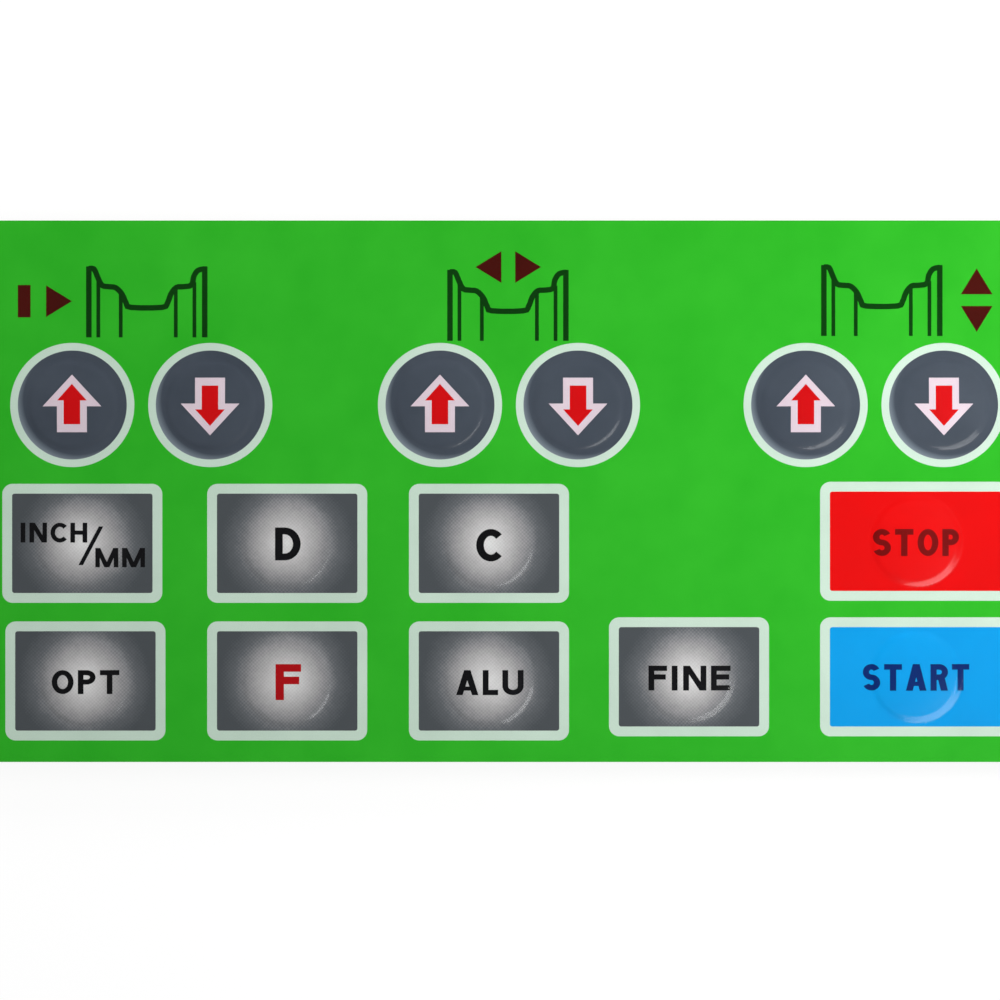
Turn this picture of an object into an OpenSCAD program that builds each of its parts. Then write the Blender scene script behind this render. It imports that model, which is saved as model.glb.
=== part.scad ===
/* [Panel] */
// Length of the front panel
panel_w = 154; // [150:0.5:170]
// Width of the front panel
panel_h = 78.5; // [78:0.5:90]
// Corner radius of the front panel
panel_corner_r = 2; // [1:0.5:3]
// How far the board and the gasket lie inside the panel's edge
board_inset = 0.5; // [0.2:0.1:1]

/* [Layers] */
// Thickness of the clear front film
film_t = 0.25; // [0.2:0.05:0.3]
// Thickness of the inks under the film
ink_t = 0.08; // [0.06:0.01:0.1]
// Thickness of the adhesive sheet under the inks
adhesive_t = 0.1; // [0.05:0.05:0.15]
// Thickness of the sheet with the dome pockets
spacer_t = 0.25; // [0.2:0.05:0.35]
// Thickness of the circuit board
board_t = 1.6; // [1.2:0.2:2]
// Thickness of the copper on the board
copper_t = 0.07; // [0.05:0.01:0.1]
// Thickness of the foam gasket on the back
gasket_t = 3; // [2.9:0.1:4]

/* [Embossed domes] */
// Distance between the centres of the crown's arc and the shoulder's
crown_reach = 70; // [68:1:71]
// Radius of the bend at the dome's shoulder, on the film's lower face
shoulder_r = 3.4; // [3:0.2:3.6]
// Radius of the bend at the dome's foot, on the film's lower face
foot_r = 2.6; // [2:0.2:2.6]

/* [Round keys] */
// Height of the row of round keys above the panel's middle
round_row_y = 12.5; // [12:0.1:13]
// Distance between the two keys of a pair
round_pitch = 20; // [19.5:0.1:21]
// Middle of the left pair
left_pair_x = -53; // [-53.5:0.1:-52.5]
// Middle of the centre pair
centre_pair_x = 0.3; // [-0.5:0.1:1]
// Middle of the right pair
right_pair_x = 53.3; // [52.8:0.1:53.8]
// Radius of the slate disc
disc_r = 7.9; // [7.5:0.1:8.1]
// Radius of the pale ring around the disc
ring_r = 9; // [8.6:0.1:9.3]

/* [Rectangular keys] */
// Middle of the upper row
upper_row_y = -7.55; // [-8:0.05:-7]
// Middle of the lower row
lower_row_y = -27.5; // [-28:0.05:-27]
// Middle of the third column
third_column_x = -2.6; // [-3:0.1:-2]
// Distance between columns
column_pitch = 29.25; // [29:0.05:29.5]
// Printing shift of the upper left key
upper_left_shift = -0.45; // [-0.5:0.05:0.5]
// Printing shift of the lower right group to the left
fine_shift_x = -0.25; // [-0.5:0.05:0.5]
// Printing shift of the lower right group upwards
lower_right_shift_y = 0.6; // [0:0.1:0.8]
// Outer size of a small key along X
key_w = 23.2; // [23:0.1:24]
// Outer size of a key along Y
key_h = 17.25; // [17:0.05:17.5]
// Outer size of a wide key along X
wide_key_w = 27.8; // [27:0.1:28.2]
// Middle of the wide keys
wide_key_x = 59.3; // [59:0.1:59.5]
// Width of the pale border
border_w = 1.42; // [1.2:0.02:1.6]
// Outer corner radius of the border
border_r = 1.5; // [1:0.1:2]
// Inner corner radius of the border
face_r = 0.35; // [0.2:0.05:0.6]

/* [Printed signs] */
// Left edge line of the left wheel section
left_sign_x = -60.6; // [-61:0.1:-60]
// Left edge line of the centre wheel section
centre_sign_x = -8.25; // [-8.5:0.05:-8]
// Left edge line of the right wheel section
right_sign_x = 45.95; // [45.5:0.05:46.2]
// Top of the left wheel section
left_sign_top = 32.6; // [32:0.1:33]
// Top of the centre wheel section
centre_sign_top = 32.1; // [32:0.1:33]
// Top of the right wheel section
right_sign_top = 32.8; // [32:0.1:33]
// Height of a wheel section
sign_h = 10.3; // [10:0.1:10.5]
// Width of a wheel section, between its outer edge lines
sign_w = 16.8; // [16.5:0.1:17]
// Thickness of the outer edge lines
edge_line_w = 0.8; // [0.6:0.05:0.9]
// Thickness of the inner lines
inner_line_w = 0.55; // [0.4:0.05:0.6]
// Length of a triangle, from its base to its point
triangle_l = 3.75; // [3.5:0.05:4]
// Base of a triangle
triangle_b = 4.6; // [4:0.1:5]

/* [Snap domes] */
// Radius of a snap dome
dome_r = 6; // [5.8:0.1:6]
// Height of a snap dome
dome_h = 0.64; // [0.56:0.02:0.66]
// Thickness of a snap dome
dome_t = 0.1; // [0.06:0.01:0.12]
// Distance from the middle to a trimmed side
dome_side = 5.1; // [4.9:0.1:5.4]
// Radius of a dome pocket in the spacer
pocket_r = 7; // [7:0.05:7.1]
// Width of the vent channels between the pockets
vent_w = 1.2; // [0.8:0.1:2]

/* [Circuit] */
// Outer radius of a key's contact ring
contact_ring_r = 6.3; // [6.2:0.05:6.4]
// Inner radius of a key's contact ring
contact_ring_hole_r = 5.2; // [5:0.1:5.3]
// Radius of a key's centre contact
centre_contact_r = 2.6; // [2:0.1:3]
// Width of a track
track_w = 0.45; // [0.3:0.05:0.6]
// Width of the guard track around the back
guard_w = 0.9; // [0.6:0.1:1.2]
// Radius of the copper around a plated hole
via_pad_r = 0.5; // [0.4:0.02:0.54]
// Radius of a plated hole
via_r = 0.25; // [0.2:0.05:0.3]
// Distance between the crossing tracks
bus_pitch = 1; // [0.95:0.05:1.05]
// Height of the first crossing track above the panel's middle
bus_y = 5; // [4.9:0.1:5.2]

/* [Connector] */
// Number of ways
ways = 10; // [10:1:10]
// Distance between contacts
way_pitch = 1.25; // [1.25:0.25:1.5]
// Middle of the connector along X
connector_x = 27; // [26:0.5:28]
// Back wall of the connector
connector_y = -6; // [-7:0.5:-5.5]
// Depth of the connector along Y
connector_d = 6; // [5.5:0.1:6.5]
// Height of the connector over the board
connector_h = 2.5; // [2.4:0.1:2.6]
// Thickness of a contact blade
blade_t = 0.35; // [0.3:0.05:0.4]
// Length of a contact's solder tail
tail_l = 1.4; // [1:0.1:1.6]

/* [Gasket] */
// Width of the foam frame
gasket_w = 6; // [5:0.5:6]
// Corner radius of the window in the foam frame
gasket_window_r = 3; // [2:0.5:5]

/* [Hidden] */
$fn = 64;
// Level of each layer's lower face
board_z = gasket_t;
spacer_z = board_z + board_t;
adhesive_z = spacer_z + spacer_t;
ink_z = adhesive_z + adhesive_t;
film_z = ink_z + ink_t;
// Board and gasket outline
board_w = panel_w - 2 * board_inset;
board_h = panel_h - 2 * board_inset;
window_w = board_w - 2 * gasket_w;
window_h = board_h - 2 * gasket_w;
// Section of the embossed film: a nearly flat crown, a shoulder and a foot, which are arcs
// that meet on the lines between their centres. The slopes there are given as sine and
// cosine, those of right triangles with whole sides, so each centre is a short exact number.
crown_slope = [0.07584, 0.99712];
rim_slope = [0.28, 0.96];
crown_r = crown_reach + shoulder_r;
emboss_r = crown_reach * crown_slope[0] + (shoulder_r + foot_r) * rim_slope[0];
foot_centre = [emboss_r, foot_r];
shoulder_centre = foot_centre - (shoulder_r + foot_r) * rim_slope;
crown_centre = shoulder_centre - crown_reach * crown_slope;
// Section of a snap dome
dome_sphere_r = (dome_r * dome_r + dome_h * dome_h) / (2 * dome_h);
// Places of the keys
round_keys = [
    for (pair = [left_pair_x, centre_pair_x, right_pair_x])
        for (side = [-1, 1])
            [pair + side * round_pitch / 2, round_row_y]
];
function column_x(i) = third_column_x + (i - 2) * column_pitch;
upper_keys = [
    [column_x(0) + upper_left_shift, upper_row_y],
    [column_x(1), upper_row_y],
    [column_x(2), upper_row_y]
];
lower_keys = [
    [column_x(0), lower_row_y],
    [column_x(1), lower_row_y],
    [column_x(2), lower_row_y],
    [column_x(3) + fine_shift_x, lower_row_y + lower_right_shift_y]
];
small_keys = concat(upper_keys, lower_keys);
stop_key = [wide_key_x, upper_row_y + lower_right_shift_y / 2];
start_key = [wide_key_x, lower_row_y + lower_right_shift_y];
all_keys = concat(round_keys, small_keys, [stop_key, start_key]);
// Keys that share a column of the circuit, from the top down
columns = [
    [round_keys[0], upper_keys[0], lower_keys[0]],
    [round_keys[1], upper_keys[1], lower_keys[1]],
    [round_keys[2], upper_keys[2], lower_keys[2]],
    [round_keys[3], lower_keys[3]],
    [round_keys[4], stop_key, start_key],
    [round_keys[5]]
];
// Connector: pin 1 is the guard, 2 to 7 the columns, 8 to 10 the rows
guard_pin = 0;
top_row_pin = 7;
lower_row_pin = 8;
upper_row_pin = 9;
function pin_x(i) = connector_x + (i - (ways - 1) / 2) * way_pitch;
// Housing beyond the contacts, both ends together
housing_ends = 4.5;
housing_w = ways * way_pitch + housing_ends;
// Solder pads: they start at the housing and reach past the tail by this much
pad_over = 0.3;
pad_w = 0.8;
pad_l = tail_l + pad_over;
pad_y = connector_y + pad_l / 2;
// Straight end of a slanting track, before its key
diagonal_lead = 3;
// Tracks of the two lower rows, to the right of the connector
row_track_gap = 2;
upper_row_x = connector_x + housing_w / 2 + row_track_gap;
lower_row_x = upper_row_x + row_track_gap;
row_turn_gap = 1.4;
upper_row_turn = pad_y + 2 * row_turn_gap;
lower_row_turn = upper_row_turn + row_turn_gap;

// Flat shapes

module rounded_rect(w, h, r) {
    square([w - 2 * r, h], center = true);
    square([w, h - 2 * r], center = true);
    for (x = [-1, 1])
        for (y = [-1, 1])
            translate([x * (w / 2 - r), y * (h / 2 - r)])
                circle(r);
}

module at_each(places) {
    for (place = places)
        translate(place)
            children();
}

// A line of even width along points, with mitred corners
function unit(v) = v / norm(v);
function side_step(p, q, r) =
    let (a = unit(q - p), b = unit(r - q), n = [-a[1] - b[1], a[0] + b[0]])
    n / (norm(n) * norm(n) / 2);
function edge_of(points, w) =
    let (last = len(points) - 1)
    [
        for (i = [0:last])
            let (
                before = i == 0 ? 2 * points[0] - points[1] : points[i - 1],
                after = i == last ? 2 * points[last] - points[last - 1] : points[i + 1]
            )
            points[i] + w / 2 * side_step(before, points[i], after)
    ];
function backwards(list) = [for (i = [len(list) - 1:-1:0]) list[i]];
module line_along(points, w) {
    polygon(concat(edge_of(points, -w), backwards(edge_of(points, w))));
}

// A smooth curve through points, with steps pieces between two of them
function between(a, b, c, d, t) =
    0.5 * (2 * b + (c - a) * t + (2 * a - 5 * b + 4 * c - d) * t * t
        + (3 * b - a - 3 * c + d) * t * t * t);
function curve(points, steps) =
    let (last = len(points) - 1)
    concat(
        [
            for (i = [0:last - 1])
                for (s = [0:steps - 1])
                    between(
                        points[max(i - 1, 0)], points[i], points[i + 1],
                        points[min(i + 2, last)], s / steps
                    )
        ],
        [points[last]]
    );

// Printed signs: the cross-section of a wheel rim, arrows and triangles

// Rim profile, from the left edge line's top
shoulder_y = -2.95;
well_y = -5.95;
rim_profile = [
    [0, -0.3], [0.75, -0.4], [1.25, -1.5], [1.9, -2.75], [2.9, shoulder_y], [3.9, -3.1],
    [4.8, -4], [5.4, -5.3], [6.1, well_y], [10.6, well_y], [11.4, -5.3], [11.9, -4],
    [12.7, -3.05], [13.7, shoulder_y], [14.9, -2.7], [15.2, -1.5], [15.8, -0.6], [sign_w, -0.35]
];
// Inner lines: distance from the left edge line and upper end
inner_lines = [[1.37, -1.9], [4.62, -3.7], [12.6, -3.2], [15.3, -2.3]];

module rim_section() {
    line_along(curve(rim_profile, 3), edge_line_w);
    for (x = [0, sign_w])
        translate([x - edge_line_w / 2, -sign_h])
            square([edge_line_w, sign_h]);
    for (line = inner_lines)
        translate([line[0] - inner_line_w / 2, -sign_h])
            square([inner_line_w, sign_h + line[1]]);
}

module sign_lines() {
    translate([left_sign_x, left_sign_top])
        rim_section();
    translate([centre_sign_x, centre_sign_top])
        rim_section();
    translate([right_sign_x, right_sign_top])
        rim_section();
}

// Triangle with its base's middle at the origin, pointing along an angle
module triangle(angle) {
    rotate(angle)
        polygon([[0, -triangle_b / 2], [triangle_l, 0], [0, triangle_b / 2]]);
}

// Places of the small bar and the triangles beside the wheel sections
bar_x = -69.975;
bar_w = 1.85;
bar_h = 4.7;
first_triangle_x = -66.8;
first_sign_y = 27.55;
second_left_x = -0.8;
second_right_x = 1.2;
second_sign_y = 32.5;
upper_triangle_y = 28.55;
lower_triangle_y = 26.85;
up_down_x = 68.1;

module sign_arrows() {
    translate([bar_x, first_sign_y])
        square([bar_w, bar_h], center = true);
    translate([first_triangle_x, first_sign_y])
        triangle(0);
    translate([second_left_x, second_sign_y])
        triangle(180);
    translate([second_right_x, second_sign_y])
        triangle(0);
    translate([up_down_x, upper_triangle_y])
        triangle(90);
    translate([up_down_x, lower_triangle_y])
        triangle(-90);
}

// Upward arrow: half widths and levels of head and stem
module arrow(head_half, tip_y, barb_y, stem_half, foot_y) {
    polygon([
        [0, tip_y], [-head_half, barb_y], [-stem_half, barb_y], [-stem_half, foot_y],
        [stem_half, foot_y], [stem_half, barb_y], [head_half, barb_y]
    ]);
}

module outer_arrow() {
    arrow(4.25, 4.4, -0.2, 2.17, -3.95);
}

module inner_arrow() {
    arrow(2.15, 3.05, 0.65, 1.2, -2.8);
}

// Arrows point up on the left key of a pair and down on the right one
module at_each_arrow() {
    for (i = [0:len(round_keys) - 1])
        translate(round_keys[i])
            mirror([0, i % 2, 0])
                children();
}

// Key outlines and faces

module key_outline(w) {
    rounded_rect(w, key_h, border_r);
}

module key_face(w) {
    rounded_rect(w - 2 * border_w, key_h - 2 * border_w, face_r);
}

module all_key_outlines() {
    at_each(round_keys)
        circle(ring_r);
    at_each(small_keys)
        key_outline(key_w);
    at_each([stop_key, start_key])
        key_outline(wide_key_w);
}

module all_key_faces() {
    at_each(round_keys)
        circle(disc_r);
    at_each(small_keys)
        key_face(key_w);
    at_each([stop_key, start_key])
        key_face(wide_key_w);
}

// Embossed sheet between two levels above the film's lower face

module arc_band(centre, r, low, high) {
    translate(centre)
        difference() {
            circle(r + max(low, high));
            circle(r + min(low, high));
        }
}

// Each arc is cut out of its ring by a wedge that reaches past the film
wedge_l = 5;

module emboss_section(low, high) {
    past_shoulder = shoulder_centre + wedge_l * crown_slope;
    intersection() {
        arc_band(crown_centre, crown_r, low, high);
        polygon([crown_centre, past_shoulder, [0, past_shoulder[1]]]);
    }
    intersection() {
        arc_band(shoulder_centre, shoulder_r, low, high);
        polygon([shoulder_centre, foot_centre, past_shoulder]);
    }
    intersection() {
        arc_band(foot_centre, foot_r, -low, -high);
        polygon([shoulder_centre, [foot_centre[0], shoulder_centre[1]], foot_centre]);
    }
}

module emboss(low, high) {
    translate([0, 0, film_z])
        rotate_extrude($fn = 96)
            emboss_section(low, high);
}

module flat_ink() {
    translate([0, 0, ink_z])
        linear_extrude(ink_t)
            children();
}

// A key's ink: flat round its face and domed in the middle
module domed_ink() {
    flat_ink()
        difference() {
            children();
            circle(emboss_r);
        }
    emboss(-ink_t, 0);
}

// Tall prism of a shape, which cuts it out of a domed ink
module ink_cutter() {
    cut_below = 1;
    cut_h = 3;
    translate([0, 0, ink_z - cut_below])
        linear_extrude(cut_h)
            children();
}

// A shape inside the dome, printed on its underside
module ink_on_dome() {
    intersection() {
        emboss(-ink_t, 0);
        ink_cutter()
            children();
    }
}

// Front film

module overlay_film() {
    color([0.93, 0.97, 0.95, 0.22]) {
        translate([0, 0, film_z])
            linear_extrude(film_t)
                difference() {
                    rounded_rect(panel_w, panel_h, panel_corner_r);
                    at_each(all_keys)
                        circle(emboss_r);
                }
        at_each(all_keys)
            emboss(0, film_t);
    }
}

// Inks on the film's back, side by side in one layer

module green_print() {
    color([0.2, 0.7, 0.15])
        flat_ink()
            difference() {
                rounded_rect(panel_w, panel_h, panel_corner_r);
                all_key_outlines();
                sign_lines();
                sign_arrows();
            }
}

module white_print() {
    color([0.87, 0.97, 0.92]) {
        flat_ink()
            difference() {
                all_key_outlines();
                all_key_faces();
            }
        at_each_arrow()
            difference() {
                ink_on_dome()
                    outer_arrow();
                ink_cutter()
                    inner_arrow();
            }
    }
}

module grey_print() {
    color([0.55, 0.55, 0.58])
        at_each(small_keys)
            domed_ink()
                key_face(key_w);
}

module slate_print() {
    color([0.35, 0.37, 0.42])
        at_each_arrow()
            difference() {
                domed_ink()
                    circle(disc_r);
                ink_cutter()
                    outer_arrow();
            }
}

module red_print() {
    color([0.93, 0.05, 0.06]) {
        translate(stop_key)
            domed_ink()
                key_face(wide_key_w);
        at_each_arrow()
            ink_on_dome()
                inner_arrow();
    }
}

module blue_print() {
    color([0.06, 0.6, 0.93])
        translate(start_key)
            domed_ink()
                key_face(wide_key_w);
}

module sign_line_print() {
    color([0.02, 0.28, 0.03])
        flat_ink()
            sign_lines();
}

module sign_arrow_print() {
    color([0.38, 0.06, 0.03])
        flat_ink()
            sign_arrows();
}

// Adhesive sheet and dome spacer

module overlay_adhesive() {
    color([0.9, 0.92, 0.88])
        translate([0, 0, adhesive_z])
            linear_extrude(adhesive_t)
                difference() {
                    rounded_rect(board_w, board_h, panel_corner_r - board_inset);
                    at_each(all_keys)
                        circle(pocket_r);
                }
}

// Channel from one pocket to another
module channel(from, to) {
    line_along([from, to], vent_w);
}

module dome_spacer() {
    color([0.85, 0.9, 0.95])
        translate([0, 0, spacer_z])
            linear_extrude(spacer_t)
                difference() {
                    rounded_rect(board_w, board_h, panel_corner_r - board_inset);
                    at_each(all_keys)
                        circle(pocket_r);
                    channel(round_keys[0], round_keys[5]);
                    channel(upper_keys[0], stop_key);
                    channel(lower_keys[0], lower_keys[3]);
                    channel(lower_keys[3], start_key);
                    channel([connector_x, round_row_y], lower_keys[3]);
                }
}

// Four-footed snap dome

module snap_dome_section() {
    intersection() {
        translate([0, dome_h - dome_sphere_r])
            difference() {
                circle(dome_sphere_r, $fn = 256);
                circle(dome_sphere_r - dome_t, $fn = 256);
            }
        square([dome_r, dome_h + 1]);
    }
}

module snap_dome(i) {
    color([0.78, 0.79, 0.8])
        translate([all_keys[i][0], all_keys[i][1], spacer_z])
            difference() {
                rotate_extrude()
                    snap_dome_section();
                for (side = [0:3])
                    rotate(45 + side * 90)
                        translate([dome_side, -dome_r, -1])
                            cube([dome_r, 2 * dome_r, dome_h + 2]);
            }
}

// Circuit: copper on both faces of the board, joined by plated holes

// Where a column's track stands at a level
function bus_level(c) = bus_y - c * bus_pitch;
function turn_y(from, to) = to[1] + abs(to[0] - from[0]) + diagonal_lead;
function track_x(c, y) =
    let (
        from = columns[c][0],
        to = len(columns[c]) > 1 ? columns[c][1] : from,
        run = max(0, turn_y(from, to) - y)
    )
    from[0] + sign(to[0] - from[0]) * min(abs(to[0] - from[0]), run);
bus_places = [for (c = [0:len(columns) - 1]) [track_x(c, bus_level(c)), bus_level(c)]];
pin_places = [for (c = [0:len(columns) - 1]) [pin_x(c + 1), bus_level(c)]];
row_places = [
    [pin_x(top_row_pin), round_row_y], [upper_row_x, stop_key[1]], [lower_row_x, start_key[1]]
];
hole_places = concat(all_keys, bus_places, pin_places, row_places);

// Track from a key down to the next one in its column, slanting where they are out of line
module column_track(from, to) {
    slant = from[0] == to[0] ? [] : [[from[0], turn_y(from, to)], [to[0], to[1] + diagonal_lead]];
    line_along(concat([from], slant, [to]), track_w);
}

module row_bar(from, to) {
    translate([from[0], to[1] - track_w / 2])
        square([to[0] - from[0], track_w]);
}

module front_copper_shape() {
    difference() {
        union() {
            at_each(all_keys)
                circle(contact_ring_r);
            row_bar(round_keys[0], round_keys[5]);
            row_bar(upper_keys[0], stop_key);
            row_bar(lower_keys[0], lower_keys[3]);
            row_bar(lower_keys[3], start_key);
        }
        at_each(all_keys)
            circle(contact_ring_hole_r);
    }
    at_each(all_keys)
        circle(centre_contact_r);
    for (c = [0:len(columns) - 1])
        line_along([bus_places[c], pin_places[c]], track_w);
    at_each(concat(bus_places, pin_places, row_places))
        circle(via_pad_r);
}

module rear_copper_shape() {
    for (column = columns)
        for (i = [1:1:len(column) - 1])
            column_track(column[i - 1], column[i]);
    last = len(columns) - 1;
    line_along([columns[last][0], bus_places[last]], track_w);
    for (c = [0:last])
        line_along([pin_places[c], [pin_x(c + 1), pad_y]], track_w);
    line_along([row_places[0], [pin_x(top_row_pin), pad_y]], track_w);
    line_along([
        row_places[1], [upper_row_x, upper_row_turn], [pin_x(upper_row_pin), upper_row_turn],
        [pin_x(upper_row_pin), pad_y]
    ], track_w);
    line_along([
        row_places[2], [lower_row_x, lower_row_turn], [pin_x(lower_row_pin), lower_row_turn],
        [pin_x(lower_row_pin), pad_y]
    ], track_w);
    line_along([[pin_x(guard_pin), pad_y], [pin_x(guard_pin), guard_y]], track_w);
    guard_ring();
    at_each(hole_places)
        circle(via_pad_r);
    for (i = [0:ways - 1])
        translate([pin_x(i), pad_y])
            square([pad_w, pad_l], center = true);
    for (side = [-1, 1])
        translate([connector_x + side * (housing_w + tab_pad_l) / 2, tab_y])
            square([tab_pad_l, tab_w + 2 * pad_over], center = true);
}

// Guard track around the back, just inside the gasket's window
guard_gap = 1.2;
guard_x = window_w / 2 - guard_gap;
guard_y = window_h / 2 - guard_gap;
module guard_ring() {
    difference() {
        rounded_rect(2 * guard_x + guard_w, 2 * guard_y + guard_w, gasket_window_r - guard_gap + guard_w);
        rounded_rect(2 * guard_x - guard_w, 2 * guard_y - guard_w, gasket_window_r - guard_gap);
    }
}

module holes(z, h) {
    translate([0, 0, z])
        at_each(hole_places)
            cylinder(h = h, r = via_r, $fn = 32);
}

module circuit_board() {
    color([0.05, 0.35, 0.2])
        difference() {
            translate([0, 0, board_z])
                linear_extrude(board_t)
                    rounded_rect(board_w, board_h, panel_corner_r - board_inset);
            translate([0, 0, spacer_z - copper_t])
                linear_extrude(1)
                    front_copper_shape();
            holes(board_z - 1, board_t + 2);
        }
}

module front_copper() {
    color([0.85, 0.65, 0.3])
        difference() {
            translate([0, 0, spacer_z - copper_t])
                linear_extrude(copper_t)
                    front_copper_shape();
            holes(board_z - 1, board_t + 2);
        }
}

module rear_copper() {
    color([0.2, 0.55, 0.3])
        difference() {
            translate([0, 0, board_z - copper_t])
                linear_extrude(copper_t)
                    rear_copper_shape();
            holes(board_z - 1, board_t + 2);
        }
}

module plated_holes() {
    color([0.8, 0.7, 0.45])
        holes(board_z - copper_t, board_t + copper_t);
}

// Flat-cable connector on the back. It is drawn standing on the board, with its mouth
// towards -Y, and turned over to hang from the board's rear face.

slot_low = 0.95;
slot_high = 1.35;
cavity_low = 0.3;
cavity_high = 1.95;
back_wall = 1.2;
cavity_w = blade_t + 0.1;
tab_w = 2.4;
tab_t = 0.3;
tab_h = 1.8;
tab_foot_l = 1.2;
tab_pad_l = tab_foot_l + pad_over;
tab_y = connector_y - connector_d / 2;
// Wall between the mouth and the blades' cavities, play at the slot's ends, lead-in of the mouth
front_wall = 0.9;
slot_play = 0.6;
lead_in_l = 0.5;
lead_in_h = 0.4;

module under_board() {
    translate([connector_x, connector_y, board_z])
        mirror([0, 0, 1])
            children();
}

module connector_housing() {
    slot_w = ways * way_pitch + slot_play;
    chamfer = 0.5;
    color([0.93, 0.9, 0.8])
        under_board()
            difference() {
                rotate([90, 0, 90])
                    translate([0, 0, -housing_w / 2])
                        linear_extrude(housing_w)
                            polygon([
                                [0, 0], [0, connector_h - chamfer], [-chamfer, connector_h],
                                [-connector_d + chamfer, connector_h],
                                [-connector_d, connector_h - chamfer], [-connector_d, 0]
                            ]);
                // Mouth with lead-in
                translate([-slot_w / 2, -connector_d - 1, slot_low])
                    cube([slot_w, connector_d + 1 - back_wall, slot_high - slot_low]);
                rotate([90, 0, 90])
                    translate([0, 0, -slot_w / 2])
                        linear_extrude(slot_w)
                            polygon([
                                [-connector_d - 0.1, slot_low - lead_in_h],
                                [-connector_d + lead_in_l, slot_low],
                                [-connector_d + lead_in_l, slot_high],
                                [-connector_d - 0.1, slot_high + lead_in_h]
                            ]);
                // Cavities for the blades, open at the back wall
                for (i = [0:ways - 1])
                    translate([pin_x(i) - connector_x - cavity_w / 2, -connector_d + front_wall, 0]) {
                        translate([0, 0, cavity_low])
                            cube([cavity_w, connector_d, cavity_high - cavity_low]);
                        translate([0, connector_d - front_wall - back_wall, -1])
                            cube([cavity_w, connector_d, cavity_low + 2]);
                    }
                // Slots for the solder tabs
                for (side = [-1, 1])
                    translate([side * housing_w / 2, tab_y - connector_y, 0])
                        cube([2 * tab_t, tab_w, 2 * tab_h], center = true);
            }
}

module connector_contact(i) {
    tail_t = 0.22;
    color([0.82, 0.8, 0.74])
        under_board()
            translate([pin_x(i) - connector_x - blade_t / 2, 0, 0])
                rotate([90, 0, 90])
                    linear_extrude(blade_t)
                        polygon([
                            [tail_l, copper_t], [tail_l, copper_t + tail_t], [0, copper_t + tail_t],
                            [-0.1, 1.85], [-4.5, 1.75], [-4.75, 1.4], [-4.5, 1.22], [-4.2, 1.5],
                            [-back_wall, 1.45], [-back_wall, 0.75], [-4.3, 0.7], [-4.5, 0.85],
                            [-4.7, 0.7], [-4.6, 0.4], [-1, 0.4], [-0.6, copper_t]
                        ]);
}

// Bent solder tab: one leg in the housing's end, one foot on the board
module connector_tab(side) {
    color([0.82, 0.8, 0.74])
        under_board()
            translate([side * housing_w / 2, tab_y - connector_y, 0])
                mirror([side < 0 ? 1 : 0, 0, 0])
                    rotate([90, 0, 0])
                        linear_extrude(tab_w, center = true)
                            polygon([
                                [-tab_t, copper_t], [tab_foot_l, copper_t],
                                [tab_foot_l, copper_t + tab_t], [0, copper_t + tab_t],
                                [0, tab_h], [-tab_t, tab_h]
                            ]);
}

// Foam frame on the back, which is what holds the keypad to its carrier

module rear_gasket() {
    color([0.12, 0.12, 0.13])
        linear_extrude(gasket_t)
            difference() {
                rounded_rect(board_w, board_h, panel_corner_r - board_inset);
                rounded_rect(window_w, window_h, gasket_window_r);
            }
}

green_print();
white_print();
grey_print();
slate_print();
red_print();
blue_print();
sign_line_print();
sign_arrow_print();
overlay_adhesive();
dome_spacer();
for (i = [1:15])
    snap_dome(i - 1);
circuit_board();
front_copper();
rear_copper();
plated_holes();
connector_housing();
for (i = [1:ways])
    connector_contact(i - 1);
connector_tab(-1);  // connector_tab_left
connector_tab(1);  // connector_tab_right
rear_gasket();
overlay_film();
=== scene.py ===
import math

import bpy
import numpy as np
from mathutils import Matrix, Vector
from mathutils.geometry import delaunay_2d_cdt

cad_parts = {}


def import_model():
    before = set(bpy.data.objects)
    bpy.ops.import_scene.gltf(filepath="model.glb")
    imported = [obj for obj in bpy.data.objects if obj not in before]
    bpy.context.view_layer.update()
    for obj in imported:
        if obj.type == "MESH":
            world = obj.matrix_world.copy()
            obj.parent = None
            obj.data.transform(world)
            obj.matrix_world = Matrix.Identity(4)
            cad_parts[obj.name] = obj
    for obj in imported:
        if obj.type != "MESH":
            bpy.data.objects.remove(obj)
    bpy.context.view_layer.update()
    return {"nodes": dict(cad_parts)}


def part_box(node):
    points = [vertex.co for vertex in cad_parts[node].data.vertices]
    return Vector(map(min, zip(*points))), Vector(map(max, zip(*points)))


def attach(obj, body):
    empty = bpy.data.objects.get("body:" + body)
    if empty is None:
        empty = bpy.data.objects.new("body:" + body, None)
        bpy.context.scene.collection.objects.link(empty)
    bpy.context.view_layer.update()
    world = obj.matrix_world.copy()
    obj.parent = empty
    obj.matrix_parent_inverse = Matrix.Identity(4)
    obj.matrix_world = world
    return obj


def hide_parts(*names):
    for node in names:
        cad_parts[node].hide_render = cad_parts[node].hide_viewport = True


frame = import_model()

MM = 0.001


def centre(node):
    """Middle of a CAD node in the panel's plane, in millimetres."""
    low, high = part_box(node)
    return tuple(round((low[i] + high[i]) / 2 / MM, 2) for i in (0, 1))


def level(node, side):
    """Lowest (0) or highest (1) level of a CAD node, in millimetres."""
    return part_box(node)[side][2] / MM


# Places of the keys and levels of the layers, from the CAD frame
KEYS = [centre(f"snap_dome_{i}") for i in range(1, 16)]
ROUND_KEYS = KEYS[:6]
SMALL_KEYS = KEYS[6:13]
STOP_KEY, START_KEY = KEYS[13:]
FILM_FOOT = level("green_print", 1)
INK_T = FILM_FOOT - level("green_print", 0)
COPPER_REAR = level("rear_copper", 0)
PANEL_W = 2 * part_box("overlay_film")[1][0] / MM
PANEL_H = 2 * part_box("overlay_film")[1][1] / MM

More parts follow.
